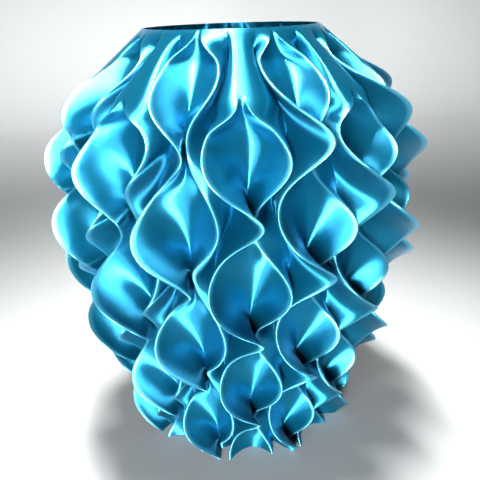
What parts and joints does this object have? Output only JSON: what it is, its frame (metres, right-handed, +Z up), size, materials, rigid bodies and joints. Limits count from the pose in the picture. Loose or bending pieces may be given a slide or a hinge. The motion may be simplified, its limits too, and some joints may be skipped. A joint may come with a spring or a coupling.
{
  "type": "ruffled vase",
  "caption": "Tall 3-D-printed vase with one thin wall folded into columns of staggered teardrop cups, a smooth conical shoulder, a round open mouth and a closed flat base.",
  "frame": {"origin": "centre of the base, on the surface the vase stands on", "axes": "+Z up through the middle of the mouth; the middle of one column of cups faces -Y"},
  "size_m": [0.2241, 0.2238, 0.25],
  "materials": {
    "silk_plastic": "silk-gloss blue filament with fine horizontal layer lines"
  },
  "bodies": {
    "root": {"vase_body": "silk_plastic"}
  },
  "joints": []
}
